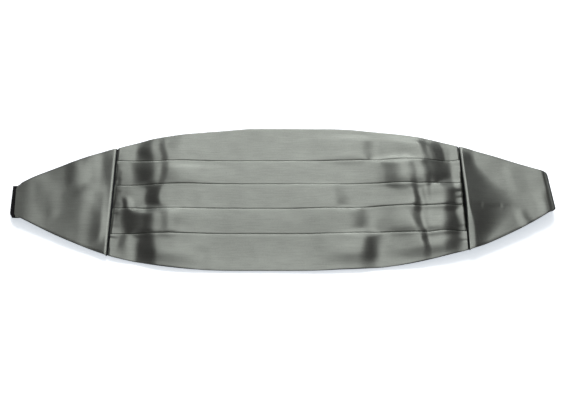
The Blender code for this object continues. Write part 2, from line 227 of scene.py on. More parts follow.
# How far a wing rises to its seam and from how far, at the seam's ends and where it rises most
Rise = namedtuple("Rise", "ends most ends_reach most_reach")
LEFT_RISE = Rise(0.0008, 0.0013, 0.0125, 0.0240)
RIGHT_RISE_ABOVE = Rise(0.0030, 0.0066, 0.0115, 0.0420)
RIGHT_RISE_BELOW = Rise(0.0016, 0.0064, 0.0110, 0.0380)
RISES_MOST_AT = -0.0120
RISE_TOP_FADE = 0.0120

# Loose cloth: how far each surface wanders up and down, and the size of its features
PLEAT_LOOSE = 0.00009
LEFT_WING_LOOSE = 0.00008
RIGHT_WING_LOOSE = 0.00013
PLEAT_LOOSE_SIZE = 0.017
WING_LOOSE_SIZE = 0.022

# Rows of stitches: how far they lie in from an edge or a seam, and the share of a thread that stands out
HEM_ROW = 0.0032
SEAM_ROW = 0.0040
END_ROW = 0.0045
EDGE_ROW = 0.0015
ROW_STEP = 0.0100
BOX_LONG = 0.0150
BOX_HALF = 0.0120
THREAD_SHOWS = 0.30
METAL_EDGE = 0.00025

MM = 0.001

# Over what share of the band a crease begins, how much its height varies, and how far its crest wanders
CREASE_BEGINS = 0.3
CREASE_VARIES = 0.22
CREASE_WANDERS = 0.0014

# Creases of each band in millimetres: where the crest meets the band's top and bottom edge, how far it bows
# sideways between them, how far its two sides reach, its height, and the share of the band's height
# from which it runs
Crease = namedtuple("Crease", "x_top x_low bow left right height start", defaults=(0,))
BAND_CREASES = (
    (
        Crease(-116, -114, 0, 17, 60, 2.6), Crease(-104, -102.5, 0, 8, 20, 0.8),
        Crease(-88, -87, 0, 16, 50, 1.2), Crease(-21, -3, 0, 9, 9, 0.13, 0.3),
        Crease(9, -2, 0, 8, 8, 0.10, 0.3), Crease(70, 67, 0, 50, 19, 3.3, 0.1),
        Crease(119, 120.5, 0, 60, 13, 3.9), Crease(129.5, 130, 0, 60, 13, 3.7),
        Crease(138, 138, 0, 20, 12, 1.1),
    ),
    (
        Crease(-111.5, -110.5, 0, 24, 60, 3.0), Crease(-101, -100, 1, 8, 16, 0.8),
        Crease(-86, -85, 0, 18, 50, 1.3, 0.1), Crease(105, 107, 0, 21, 13, 2.0),
        Crease(116.5, 117.5, 0, 64, 35, 7.4), Crease(119.5, 120.5, 0, 6, 8, 0.5),
    ),
    (
        Crease(-139, -133, 0, 6, 7, 0.6, 0.4), Crease(-105.5, -104, -1, 15, 60, 2.7),
        Crease(-79, -78, 0, 9, 10, -0.4, 0.2), Crease(41, 43, 0, 50, 19, 1.8),
        Crease(109, 110.5, 0, 60, 12, 3.2), Crease(123, 124, 0, 8, 7, 0.95),
        Crease(135.5, 136.5, 0, 60, 26, 5.4),
    ),
    (
        Crease(-128, -127, 1, 9, 15, 0.28), Crease(-111, -109.5, 0, 30, 60, 4.5),
        Crease(-112, -110.5, 0, 9, 12, 0.6), Crease(-98, -97, 0, 10, 14, 1.0),
        Crease(52, 55, 0, 50, 26, 2.3), Crease(107, 108, 0, 40, 15, 3.0), Crease(124, 126, 0, 7, 8, 0.6),
        Crease(133.5, 133.5, 0, 60, 23, 5.0),
    ),
    (
        Crease(-131, -133, 1, 10, 10, 0.9), Crease(-107, -105.5, 0, 22, 60, 4.1),
        Crease(-24, -20, 0, 6, 6, 0.12, 0.2), Crease(-12, -17, 0, 6, 6, 0.10, 0.3),
        Crease(-70, -68, 0, 9, 10, -0.6, 0.3), Crease(67, 60, 0, 55, 26, 4.3),
        Crease(114, 116, 0, 40, 11, 2.3), Crease(135, 135, 0, 60, 19, 4.4),
    ),
)

# How far the hems and the folds of bands 2 to 5 wander up or down from their even lines: both in millimetres
Drift = namedtuple("Drift", "x up")
TOP_DRIFT = (
    Drift(-215, 0), Drift(-195, -0.6), Drift(-150, -0.6), Drift(-132, 0.1), Drift(-115, 0.5), Drift(-100, 0),
    Drift(-66, -0.7), Drift(-48, -0.4), Drift(-28, 0.7), Drift(40, 0.5), Drift(62, 0.6), Drift(80, 0.1),
    Drift(134, 0), Drift(148, 0.5), Drift(160, 0.5), Drift(172, 0))
LOW_DRIFT = (
    Drift(-150, 0), Drift(-116, -0.8), Drift(-73, -0.8), Drift(-30, 0), Drift(25, 0), Drift(50, 0.8),
    Drift(90, 0), Drift(140, 0), Drift(163, -0.6), Drift(190, 0), Drift(215, 0.9), Drift(226, 0.9))
FOLD_DRIFTS = (
    (Drift(-134, -0.5), Drift(-112, -1.2), Drift(-80, 0), Drift(68, 0), Drift(87, -0.5), Drift(118, -2.0),
     Drift(138, -3.0), Drift(155, -2.2)),
    (Drift(-134, -1.5), Drift(-112, -1.0), Drift(-80, 0), Drift(68, 0), Drift(87, -0.6), Drift(118, -2.0),
     Drift(138, -1.7), Drift(155, -1.2)),
    (Drift(-134, 0), Drift(-112, -1.0), Drift(-80, 0), Drift(50, 0), Drift(87, 1.2), Drift(118, 0.5),
     Drift(138, 0.6), Drift(155, 1.1)),
    (Drift(-134, -0.7), Drift(-112, -0.5), Drift(-80, 0), Drift(50, 0), Drift(87, 0.7), Drift(118, -0.6),
     Drift(138, 0.6), Drift(155, 0.3)),
)

# Small puckers where the seams' thread pulls the pleats: y in millimetres, reach up and down, depth
Pucker = namedtuple("Pucker", "y reach depth")
LEFT_PUCKERS = (
    Pucker(26, 1.3, -0.2), Pucker(16, 1.5, 0.3), Pucker(13, 1.2, -0.25), Pucker(4, 1.3, 0.2),
    Pucker(-8, 1.4, 0.3), Pucker(-12, 1.2, -0.25), Pucker(-17, 1.5, 0.3), Pucker(-28, 1.4, 0.2),
    Pucker(-32, 1.2, -0.2), Pucker(-39, 1.5, 0.3))
RIGHT_PUCKERS = (
    Pucker(27, 1.4, 0.15), Pucker(15, 1.5, 0.2), Pucker(5, 1.6, -0.06), Pucker(2, 1.2, 0.2),
    Pucker(-1, 1.5, -0.07), Pucker(-4, 1.1, 0.18), Pucker(-8, 1.6, -0.06), Pucker(-12, 1.2, 0.2),
    Pucker(-17, 1.5, -0.06), Pucker(-30, 1.5, 0.25), Pucker(-34, 1.4, -0.06), Pucker(-43, 1.3, 0.2))
PUCKER_REACH = 0.0095

# How far a wing's crest wanders, and in millimetres how far it fades past its two ends
PULL_WANDERS = 0.0020
PULL_FADE = 12.0

# Creases of the wings in millimetres: the two ends of the crest, how far its two sides reach, its height
Pull = namedtuple("Pull", "x_from y_from x_to y_to left right height")
WING_PULLS = (
    Pull(-180.5, 24, -178.5, 14, 13, 13, 0.65),
    Pull(-169, 3, -150, -32, 30, 21, 0.85),
    Pull(-168, 36, -164, 8, 10, 9, 0.4),
    Pull(-206, 8, -200, -12, 12, 14, 0.4),
    Pull(225, -6, 226, -30, 11, 9, 0.7),
    Pull(208, -34, 205, -25, 7, 7, 0.6),
    Pull(200, 20, 203, 8, 10, 12, 0.3),
)


def mix(low, high, share):
    return low + (high - low) * share


def ease(share):
    """0 to 1, with no slope at either end."""
    share = min(1.0, max(0.0, share))
    return share * share * (3.0 - 2.0 * share)


# ---------------------------------------------------------------- the form that every layer follows


def smooth_curve(rows, x):
    """The value at x on one smooth curve through rows of (x, value), level past both ends."""
    x = min(rows[-1][0], max(rows[0][0], x))
    first = max(i for i in range(len(rows) - 1) if rows[i][0] <= x)

    def slope(i):
        before, after = rows[max(i - 1, 0)], rows[min(i + 1, len(rows) - 1)]
        return (after[1] - before[1]) / (after[0] - before[0])

    start, end = rows[first], rows[first + 1]
    run = end[0] - start[0]
    t = (x - start[0]) / run
    return (
        start[1] * (1 + 2 * t) * (1 - t) ** 2
        + end[1] * t * t * (3 - 2 * t)
        + slope(first) * run * t * (1 - t) ** 2
        - slope(first + 1) * run * t * t * (1 - t)
    )


def lift(x):
    """Height of the backing's underside at x."""
    return max(0.0, smooth_curve(LIFTS, x))


def strap_middle(x):
    """The strap's own middle, which runs straight from one tip's middle to the other's."""
    return mix(LEFT_TIP_MIDDLE, RIGHT_TIP_MIDDLE, (x - LEFT_END) / (RIGHT_END - LEFT_END))


def crown(x, y):
    """How far the strap lifts the cloth over it, where nothing else holds the cloth up."""
    off = abs(y - strap_middle(x)) - CROWN_FLAT
    return CROWN * (1 - ease(off / CROWN_REACH)) * (1 - ease(lift(x) / CROWN_FADE))


def arc_fall(x, radius):
    """How far a hem has come in at x on the panel: straight in the middle, then an arc."""
    across = max(0.0, abs(x - PANEL_MIDDLE) - HEM_STRAIGHT)
    return radius - math.sqrt(radius * radius - across * across)


def hem(travel, above):
    """Y of the top or bottom hem, where travel is X, counted on along the cloth past a bend."""
    half, tip_middle = (LEFT, LEFT_TIP_MIDDLE) if travel < PANEL_MIDDLE else (RIGHT, RIGHT_TIP_MIDDLE)
    on_panel = min(RIGHT_SEAM, max(LEFT_SEAM, travel))
    out = max(0.0, half.side * (travel - half.seam))
    wander = smooth_curve(TOP_DRIFT if above else LOW_DRIFT, travel / MM) * MM
    if above:
        fall = arc_fall(on_panel, half.top_arc) + half.top_slope * out + half.top_turn * out * out
        return max(HALF_HEIGHT - fall + wander, tip_middle + TAIL_HALF)
    fall = arc_fall(on_panel, half.bottom_arc) + half.bottom_slope * out + half.bottom_turn * out * out
    return min(fall - HALF_HEIGHT + wander, tip_middle - TAIL_HALF)


def slanted(x, y, under=False):
    """X moved for the slant of the garment's two ends, on the upper layers or on those turned under."""
    if x < 0:
        above, below = hem(x, above=True) - y, y - hem(x, above=False)
        corner = (1 - ease(above / TIP_ROUND_REACH)) + TIP_ROUND_BELOW * (1 - ease(below / TIP_ROUND_REACH))
        corner *= TIP_ROUND * ease((TIP_ROUND_RUN - (x - LEFT.tip)) / TIP_ROUND_RUN)
        slant = LEFT_SLANT * (y - LEFT_TIP_MIDDLE) * ease((-x - SLANT_FROM) / (-LEFT.tip - SLANT_FROM))
        return x + slant + corner
    start = EYE_RIGHT_X if under else SLANT_FROM
    return x + RIGHT_SLANT * (y - RIGHT_TIP_MIDDLE) * ease((x - start) / (RIGHT.tip - start))


def waver(x, y, seed, size):
    """A smooth wander between about -1 and 1, the same each time, with features of that size."""
    return 2.0 * noise.noise(Vector((x / size, y / size, seed)))


def crease_height(creases, x, y, down, seed):
    """Sum of the creases at x, at a share of the way down the band, in metres."""
    total = 0.0
    x += CREASE_WANDERS * waver(x * 0.6, y, seed=seed, size=0.014)
    for crease in creases:
        crest = mix(crease.x_top, crease.x_low, down) + crease.bow * 4 * down * (1 - down)
        reach = (crease.left if x < crest * MM else crease.right) * MM
        across = 1 - ease(abs(x - crest * MM) / reach)
        if across > 0.0:
            begun = ease((down - crease.start) / CREASE_BEGINS) if crease.start > 0 else 1.0
            depth = 1.0 + CREASE_VARIES * waver(crest * MM, y, seed=seed + 30.0, size=0.016)
            total += crease.height * MM * across * begun * depth
    return total


def pull_height(x, y):
    """Sum of the wing's creases at a point, in metres."""
    total = 0.0
    x += PULL_WANDERS * waver(x, y, seed=7.0, size=0.016)
    y += PULL_WANDERS * waver(x, y, seed=9.0, size=0.016)
    here = Vector((x, y)) / MM
    for pull in WING_PULLS:
        start, end = Vector((pull.x_from, pull.y_from)), Vector((pull.x_to, pull.y_to))
        along = end - start
        share = (here - start).dot(along) / along.length_squared
        off = (here - start) - along * share
        reach = pull.left if off.x < 0 else pull.right
        across = 1 - ease(off.length / reach)
        past = max(-share, share - 1, 0.0) * along.length
        if across > 0.0:
            total += pull.height * MM * across * (1 - ease(past / PULL_FADE))
    return total


def spaced(start, end, step):
    """Even stations from start to end, about a step apart."""
    count = max(1, round(abs(end - start) / step))
    return [mix(start, end, i / count) for i in range(count + 1)]


def arc(centre, radius, start, end, count):
    """Points on an arc in the X-Z plane, between two angles in degrees, the first one left out."""
    turned = [math.radians(mix(start, end, i / count)) for i in range(1, count + 1)]
    return [(centre[0] + radius * math.cos(a), centre[1] + radius * math.sin(a)) for a in turned]


def rounded(corners, count=4):
    """A path in the X-Z plane through (x, z, radius) corners, each rounded by an arc."""
    points = [corners[0][:2]]
    for before, corner, after in zip(corners, corners[1:], corners[2:]):
        here = Vector(corner[:2])
        inward = (Vector(before[:2]) - here).normalized()
        outward = (Vector(after[:2]) - here).normalized()
        half = inward.angle(outward) / 2
        reach = corner[2] / math.tan(half)
        centre = here + (inward + outward).normalized() * (corner[2] / math.sin(half))
        first = here + inward * reach - centre
        turn = first.angle_signed(here + outward * reach - centre)
        for i in range(count + 1):
            angle = math.atan2(first.y, first.x) - turn * i / count
            points.append((centre.x + corner[2] * math.cos(angle), centre.y + corner[2] * math.sin(angle)))
    points.append(corners[-1][:2])
    return points


# ---------------------------------------------------------------- making sheets


def add_object(name, data):
    made = bpy.data.objects.new(name, data)
    bpy.context.scene.collection.objects.link(made)
    return made


def select_only(piece):
    bpy.ops.object.select_all(action="DESELECT")
    bpy.context.view_layer.objects.active = piece
    piece.select_set(True)


def make_sheet(name, columns, rows, place, wall, material, even=True):
    """A cloth shell: place(column, row) gives points of its middle, and UV follows the cloth in metres."""
    bm = bmesh.new()
    grid = [[bm.verts.new(place(column, row)) for row in rows] for column in columns]
    middle = len(rows) // 2
    along = [0.0]
    for before, after in zip(grid, grid[1:]):
        along.append(along[-1] + (after[middle].co - before[middle].co).length)
    across = []
    for line in grid:
        down = [line[0].co.y]
        for before, after in zip(line, line[1:]):
            down.append(down[-1] + (after.co - before.co).length)
        across.append(down)
    uv = bm.loops.layers.uv.new("weave")
    for i in range(len(grid) - 1):
        for j in range(len(rows) - 1):
            corners = ((i, j), (i, j + 1), (i + 1, j + 1), (i + 1, j))
            face = bm.faces.new([grid[a][b] for a, b in corners])
            face.smooth = True
            for loop, (a, b) in zip(face.loops, corners):
                loop[uv].uv = (along[a], across[a][b])
    mesh = bpy.data.meshes.new(name)
    bm.normal_update()
    bm.to_mesh(mesh)
    bm.free()
    mesh.materials.append(material)
    made = add_object(name, mesh)
    solidify = made.modifiers.new("Wall", "SOLIDIFY")
    solidify.thickness = wall
    solidify.offset = 0.0
    solidify.use_even_offset = even
    select_only(made)
    bpy.ops.object.modifier_apply(modifier=solidify.name)
    made.data.set_sharp_from_angle(angle=math.radians(50))
    return made


def finish_piece(piece, node):
    """Give a piece its body, and hide the solid it stands for."""
    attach(piece, "root")
    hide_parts(node)


# ---------------------------------------------------------------- materials


def shader_input(material, name):
    return material.node_tree.nodes["Principled BSDF"].inputs[name]


def new_material(name, values):
    """A material with these values on its shader's inputs."""
    material = bpy.data.materials.new(name)
    material.use_nodes = True
    for socket, value in values.items():
        shader_input(material, socket).default_value = value
    return material


def add_pattern(material, kind, scale, turn=0.0, detail=2.0, surface=True):
    """A wave or noise texture on the cloth's own UV, or on the piece's place; scale is in turns a metre."""
    nodes, links = material.node_tree.nodes, material.node_tree.links
    if surface:
        source = nodes.new("ShaderNodeUVMap")
        source.uv_map = "weave"
        place = source.outputs["UV"]
    else:
        place = nodes.new("ShaderNodeTexCoord").outputs["Object"]
    stretch = nodes.new("ShaderNodeMapping")
    stretch.inputs["Rotation"].default_value = (0.0, 0.0, math.radians(turn))
    stretch.inputs["Scale"].default_value = scale
    links.new(place, stretch.inputs["Vector"])
    if kind == "wave":
        pattern = nodes.new("ShaderNodeTexWave")
        pattern.inputs["Scale"].default_value = math.pi / 10
        pattern.inputs["Distortion"].default_value = 0.6
    else:
        pattern = nodes.new("ShaderNodeTexNoise")
        pattern.inputs["Scale"].default_value = 1.0
    pattern.inputs["Detail"].default_value = detail
    links.new(stretch.outputs["Vector"], pattern.inputs["Vector"])
    return pattern.outputs["Fac"]


def combine(material, operation, *values):
    """The result of one sum on numbers and outputs."""
    node = material.node_tree.nodes.new("ShaderNodeMath")
    node.operation = operation
    for value, socket in zip(values, node.inputs):
        if isinstance(value, float):
            socket.default_value = value
        else:
            material.node_tree.links.new(value, socket)
    return node.outputs["Value"]


def tinted(colour, share):
    return tuple(c * share for c in colour)


def colour_by(material, factor, colour, low, high, from_=0.0, to=1.0):
    """Colour the shader between two shares of a colour, as the factor goes from one value to the other."""
    ramp = material.node_tree.nodes.new("ShaderNodeValToRGB")
    for element, position, share in zip(ramp.color_ramp.elements, (from_, to), (low, high)):
        element.position = position
        element.color = (*tinted(colour, share), 1.0)
    material.node_tree.links.new(factor, ramp.inputs["Fac"])
    material.node_tree.links.new(ramp.outputs["Color"], shader_input(material, "Base Color"))


def raise_by(material, height, strength, distance):
    """Raise the surface by a pattern."""
    bump = material.node_tree.nodes.new("ShaderNodeBump")
    bump.inputs["Strength"].default_value = strength
    bump.inputs["Distance"].default_value = distance
    material.node_tree.links.new(height, bump.inputs["Height"])
    material.node_tree.links.new(bump.outputs["Normal"], shader_input(material, "Normal"))


def make_satin(looks):
    """Silver satin: floats draw out its gloss, and slubs, fine yarns and a faint cloud vary it."""
    material = new_material("silver satin", {
        "Metallic": 0.95, "Roughness": looks.satin_roughness,
        "Anisotropic": looks.satin_grain, "Anisotropic Rotation": 0.25})
    tangent = material.node_tree.nodes.new("ShaderNodeTangent")
    tangent.direction_type = "UV_MAP"
    tangent.uv_map = "weave"
    material.node_tree.links.new(tangent.outputs["Tangent"], shader_input(material, "Tangent"))
    slubs = add_pattern(material, "noise", (70.0, 900.0, 1.0), detail=3.0)
    yarns = add_pattern(material, "noise", (750.0, 1900.0, 1.0))
    cloudy = add_pattern(material, "noise", (70.0, 110.0, 1.0), detail=3.0)
    woven = combine(material, "MULTIPLY_ADD", yarns, 0.40, combine(material, "MULTIPLY", slubs, 0.35))
    shade = combine(material, "MULTIPLY_ADD", cloudy, 0.25, woven)
    colour_by(material, shade, looks.satin_colour, low=0.86, high=1.14, from_=0.34, to=0.66)
    raise_by(material, woven, strength=0.25, distance=0.00006)
    return material


def make_lining(looks):
    """Charcoal twill: fine diagonal ribs, with a little nap that catches the light."""
    material = new_material("charcoal twill lining", {
        "Roughness": 0.72, "Specular IOR Level": 0.35, "Sheen Weight": 0.15, "Sheen Roughness": 0.5})
    ribs = add_pattern(material, "wave", (1100.0, 1100.0, 1.0), turn=58.0)
    yarns = add_pattern(material, "noise", (420.0, 2600.0, 1.0), detail=3.0)
    cloudy = add_pattern(material, "noise", (45.0, 45.0, 1.0))
    weave = combine(material, "MULTIPLY_ADD", ribs, 0.6, combine(material, "MULTIPLY", yarns, 0.5))
    shade = combine(material, "MULTIPLY", weave, combine(material, "ADD", cloudy, 0.45))
    colour_by(material, shade, looks.lining_colour, low=0.55, high=1.5)
    raise_by(material, weave, strength=0.5, distance=0.00012)
    return material


def make_elastic(looks):
    """Black woven elastic: ribs along the strap, crossed by finer weft."""
    material = new_material("black woven elastic", {"Roughness": 0.78, "Specular IOR Level": 0.3})
    ribs = add_pattern(material, "wave", (700.0, 700.0, 1.0), turn=90.0, detail=0.0)
    weft = add_pattern(material, "wave", (1500.0, 1500.0, 1.0))
    fibres = add_pattern(material, "noise", (900.0, 3200.0, 1.0), detail=3.0)
    weave = combine(material, "MULTIPLY", ribs, combine(material, "ADD", weft, 0.7))
    shade = combine(material, "MULTIPLY", weave, combine(material, "ADD", fibres, 0.2))
    colour_by(material, shade, looks.elastic_colour, low=0.55, high=1.8)
    raise_by(material, weave, strength=0.6, distance=0.00018)
    return material


def make_nickel(looks):
    """Nickel plate: fine brushing, cloudy gloss and a little tarnish."""
    material = new_material("nickel plate", {"Metallic": 1.0})
    brushed = add_pattern(material, "noise", (5200.0, 160.0, 5200.0), surface=False)
    cloudy = add_pattern(material, "noise", (260.0, 260.0, 260.0), detail=4.0, surface=False)
    colour_by(material, cloudy, looks.metal_colour, low=0.72, high=1.0, from_=0.32, to=0.62)
    gloss = combine(material, "MULTIPLY_ADD", cloudy, 0.30, combine(material, "MULTIPLY", brushed, 0.28))
    material.node_tree.links.new(gloss, shader_input(material, "Roughness"))
    raise_by(material, brushed, strength=0.15, distance=0.00004)
    return material


def make_thread(name, colour):
    """Spun thread: fine plies, and a soft gloss."""
    material = new_material(name, {"Roughness": 0.55})
    plies = add_pattern(material, "noise", (3600.0, 3600.0, 3600.0), detail=1.0, surface=False)
    colour_by(material, plies, colour, low=0.6, high=1.3, from_=0.3, to=0.7)
    raise_by(material, plies, strength=0.4, distance=0.00004)
    return material


def satin_of(looks):
    """The one satin of pleats and wings, made the first time it is asked for."""
    return bpy.data.materials.get("silver satin") or make_satin(looks)


# ---------------------------------------------------------------- the pleated front


def fold_line(number, x):
    """Y of the folded top edge of a band from 2 to 5."""
    return FIRST_FOLD - PLEAT_PITCH * (number - 2) + smooth_curve(FOLD_DRIFTS[number - 2], x / MM) * MM


def band_edges(number, x):
    """The band's two long edges, and the edge at which the next band hides it."""
    top = hem(x, above=True) if number == 1 else fold_line(number, x)
    if number == PLEATS:
        bottom = hem(x, above=False)
        return top, bottom, bottom
    shown = fold_line(number + 1, x)
    return top, shown - LAP, shown


def fold_level(number, x):
    """Height at which band number and the one above it meet, midway between their own creases."""
    y = fold_line(number, x)
    above = crease_height(BAND_CREASES[number - 2], x, y, 1.0, number - 1)
    below = crease_height(BAND_CREASES[number - 1], x, y, 0.0, number)
    return (above + below) / 2


def eased_to(height, level, away):
    """A height that comes gently to a level as the distance away from it falls to 0."""
    room = max(MEETS_SLOPE * away * (1 + (away / MEETS_REACH) ** 2), 1e-7)
    return level + room * math.tanh((height - level) / room)


def band_creases(number, x, y):
    """Height of a band's own creases, which meet its neighbours' at the folds between them."""
    top, _, shown = band_edges(number, x)
    down = min(1.0, max(0.0, (top - y) / (top - shown)))
    own = crease_height(BAND_CREASES[number - 1], x, y, down, number)
    if number == 1:
        own *= mix(HEM_HOLDS, 1.0, ease((top - y) / TOP_HEM_FADE))
    else:
        own = eased_to(own, fold_level(number, x), max(0.0, top - y))
    if number == PLEATS:
        return own * mix(HEM_HOLDS, 1.0, ease((y - shown) / LOW_HEM_FADE))
    return eased_to(own, fold_level(number + 1, x), max(0.0, y - shown))


def pleat_middle(number, x, y, down):
    """Height of a band's middle above the table, and how much of it the seam leaves."""
    _, _, shown = band_edges(number, x)
    lapping = 0.0 if number == 1 else SATIN + LAP_GAP
    settled = min(1.0, max(0.0, (down - 0.002) / LAP_SETTLES))
    raised = lapping * (1 - mix(settled, ease(settled), 0.4))
    if number < PLEATS:
        raised -= TUCK_DIPS[number - 1] * max(0.0, 1 - max(0.0, y - shown) / TUCK_REACH) ** 1.4
    above_back = GAP + SATIN / 2 + raised + band_creases(number, x, y)
    near = min(x - LEFT_SEAM, RIGHT_SEAM - x)
    pressed = mix(SEAM_PRESS, 1.0, ease(near / (SEAM_PRESS_REACH + SEAM_PRESS_MORE * seam_middle(y))))
    pressed -= pucker(x, y, near)
    if x > 0:
        joined = SEAM_JOINS * seam_rise(x, y)[0] * (1 - ease(near / SEAM_JOINS_REACH))
    else:
        drawn = 1 - ease((abs(y - SEAM_DRAWN_AT) - SEAM_DRAWN_HALF) / SEAM_DRAWN_FADE)
        uneven = 1 + 0.4 * waver(x, y, seed=50.0, size=0.007)
        joined = -SEAM_DRAWN * drawn * (1 - ease(near / SEAM_DRAWN_REACH)) * uneven
    loose = PLEAT_LOOSE * waver(x, y * 0.7, seed=number + 20.0, size=PLEAT_LOOSE_SIZE)
    return lift(x) + crown(x, y) + LINING + above_back + joined + loose, pressed


def seam_middle(y):
    """1 along the middle of a seam and 0 towards the hems."""
    return 1 - ease((abs(y - SEAM_MIDDLE) - SEAM_MIDDLE_HALF) / SEAM_MIDDLE_FADE)


def opened(x, y):
    """X of a pleat near a seam, drawn back where the seam gapes open."""
    side, gape = (-1, LEFT_GAPE) if x < 0 else (1, RIGHT_GAPE)
    near = min(x - LEFT_SEAM, RIGHT_SEAM - x)
    return x - side * mix(gape.ends, gape.middle, seam_middle(y)) * (1 - ease(near / SEAM_OPENS_REACH))


def pucker(x, y, near):
    """How much the seam's thread pulls the pleats down at a point near it, as a share of their height."""
    if near > PUCKER_REACH:
        return 0.0
    total = 0.0
    for one in LEFT_PUCKERS if x < 0 else RIGHT_PUCKERS:
        off = abs(y / MM - one.y) / (one.reach * (1 + near / PUCKER_REACH))
        total += one.depth * (1 - ease(off)) * (1 - ease(near / PUCKER_REACH))
    return total


def section_rows(last):
    """Rows across a band, from its low edge up and over its folded top: (kind, share, angle or distance)."""
    if last:
        rows = [("low", angle) for angle in (-90.0, -50.0, -10.0, 25.0, 55.0)]
        rows += [("flat", i / 26) for i in range(27)]
    else:
        rows = [("hidden", i / 4) for i in range(4)]
        rows += [("tuck", distance) for distance in TUCK_ROWS]
        rows += [("flat", i / 22) for i in range(23)]
    rows += [("top", angle) for angle in (65.0, 40.0, 15.0, -15.0, -45.0, -75.0)]
    rows += [("back", i / 5) for i in range(6)]
    return rows


def make_pleats(satin):
    columns = spaced(LEFT_SEAM + GAP / 2, RIGHT_SEAM - GAP / 2, COLUMN_STEP)
    for number in range(1, PLEATS + 1):
        last = number == PLEATS

        def place(x, row, number=number, last=last):
            kind, value = row
            top, bottom, shown = band_edges(number, x)
            low_end = bottom + FOLD + CLOTH / 2
            high_end = top - FOLD - CLOTH / 2
            if kind == "flat":
                y, off = mix(low_end if last else shown + TUCK_ROWS[-1] + 0.0006, high_end, value), FOLD
            elif kind == "tuck":
                y, off = shown + value, FOLD
            elif kind == "hidden":
                y, off = mix(bottom, shown + TUCK_ROWS[0], value), FOLD
            elif kind == "top":
                angle = math.radians(value)
                y, off = high_end + FOLD * math.cos(angle), FOLD * math.sin(angle)
            elif kind == "low":
                angle = math.radians(value)
                y, off = low_end - FOLD * math.cos(angle), FOLD * math.sin(angle)
            else:
                y, off = high_end - RETURN * value, -FOLD
            middle, pressed = pleat_middle(number, x, y, top - y)
            x = opened(x, y)
            if kind != "back":
                middle -= FOLD_SOFT * (1 - ease((top - y) / FOLD_SOFT_REACH))
            floor = lift(x) + crown(x, y) + LINING + CLOTH * 0.75
            return Vector((x, y, max(floor, mix(floor, middle + off, pressed))))

        pleat = make_sheet(f"satin_pleat_{number}", columns, section_rows(last), place, CLOTH, satin)
        finish_piece(pleat, f"pleat_{number}")


# ---------------------------------------------------------------- the wings


def wing_rows():
    """Rows across a wing, from its low edge to its top edge: (kind, share or angle)."""
    rows = [("low", a) for a in (-90.0, -50.0, -10.0, 25.0, 55.0)]
    rows += [("flat", i / WING_ROWS) for i in range(WING_ROWS + 1)]
    rows += [("top", a) for a in (55.0, 25.0, -10.0, -50.0, -90.0)]
    return rows


def seam_rise(x, y):
    """How far the wing rises to its seam, and from how far: the most just below the garment's middle."""
    if x < 0:
        rise, share = LEFT_RISE, 1 - ease((y + 0.040) / 0.060)
    elif y > RISES_MOST_AT:
        rise, share = RIGHT_RISE_ABOVE, 1 - ease((y - RISES_MOST_AT) / 0.046)
    else:
        rise, share = RIGHT_RISE_BELOW, 1 - ease((RISES_MOST_AT - y) / 0.036)
    held = ease((hem(LEFT_SEAM if x < 0 else RIGHT_SEAM, above=True) - y) / RISE_TOP_FADE)
    return mix(rise.ends, rise.most, share) * held, mix(rise.ends_reach, rise.most_reach, share)


def wing_surface(x, y):
    """Height of the wing's middle from its own solid, with the rise towards the seam and its creases."""
    seam = LEFT_SEAM if x < 0 else RIGHT_SEAM
    rise, reach = seam_rise(x, y)
    level = SEAM_ROLL_WIDE * (0.5 if x < 0 else mix(0.5, 1.5, ease(-(y + 0.008) / 0.026)))
    out = max(0.0, abs(x - seam) - level) / reach
    near = mix(1 - ease(out), max(0.0, 1 - out) ** 2, 0.85)
    tip = LEFT.tip if x < 0 else RIGHT.tip
    free = ease(abs(x - seam) / 0.008) * ease(abs(tip - x) / 0.008 + 0.3)
    loose = LEFT_WING_LOOSE if x < 0 else RIGHT_WING_LOOSE
    loose *= waver(x, y, seed=40.0, size=WING_LOOSE_SIZE)
    return lift(x) + LINING + GAP + WING_SATIN / 2 + rise * near + (pull_height(x, y) + loose) * free


def wing_point(travel, row):
    """Y of a row across a wing, and how far it stands off the wing's middle."""
    kind, value = row
    radius = (WING_SATIN - CLOTH) / 2
    low = hem(travel, above=False) + radius
    high = hem(travel, above=True) - radius
    if kind == "flat":
        y, off = mix(low, high, value), radius
    else:
        angle = math.radians(value)
        y = low - radius * math.cos(angle) if kind == "low" else high + radius * math.cos(angle)
        off = radius * math.sin(angle)
    return y, off


def seam_roll(side, seam):
    """Columns of the rolled seam edge, from where it tucks under to its crest: (x, drop)."""
    edge = seam + side * GAP / 2
    columns = [(edge + side * 0.0009, -SEAM_ROLL_DEEP - 0.0002), (edge + side * 0.0003, -SEAM_ROLL_DEEP)]
    for share in (1.0, 0.995, 0.98, 0.95, 0.91, 0.86, 0.80, 0.73, 0.65, 0.55, 0.45, 0.35, 0.25, 0.12, 0.0):
        drop = SEAM_ROLL_DEEP * (1 - (1 - share**4) ** (1 / 4))
        columns.append((edge + side * SEAM_ROLL_WIDE * (1 - share), -drop))
    return columns


def make_wings(satin):
    for half, name in ((LEFT, "left"), (RIGHT, "right")):
        roll = seam_roll(half.side, half.seam)
        crest = roll[-1][0]
        stations = [(x, drop, x) for x, drop in roll]
        stations += [(x, 0.0, x) for x in spaced(crest, half.tip, COLUMN_STEP * 1.2)[1:]]
        if half is RIGHT:
            stations += right_turn()
        wing = make_sheet(f"satin_wing_{name}", stations, wing_rows(), place_wing, CLOTH, satin, even=False)
        finish_piece(wing, f"wing_{name}")


def right_bend(inset):
    """Centre and radius of the turn that rolls the right end under, at a depth inside the satin."""
    top = lift(RIGHT.tip) + LINING + GAP + WING_SATIN / 2
    bottom = WING_SATIN / 2
    return (RIGHT.tip, (top + bottom) / 2), (top - bottom) / 2 - inset


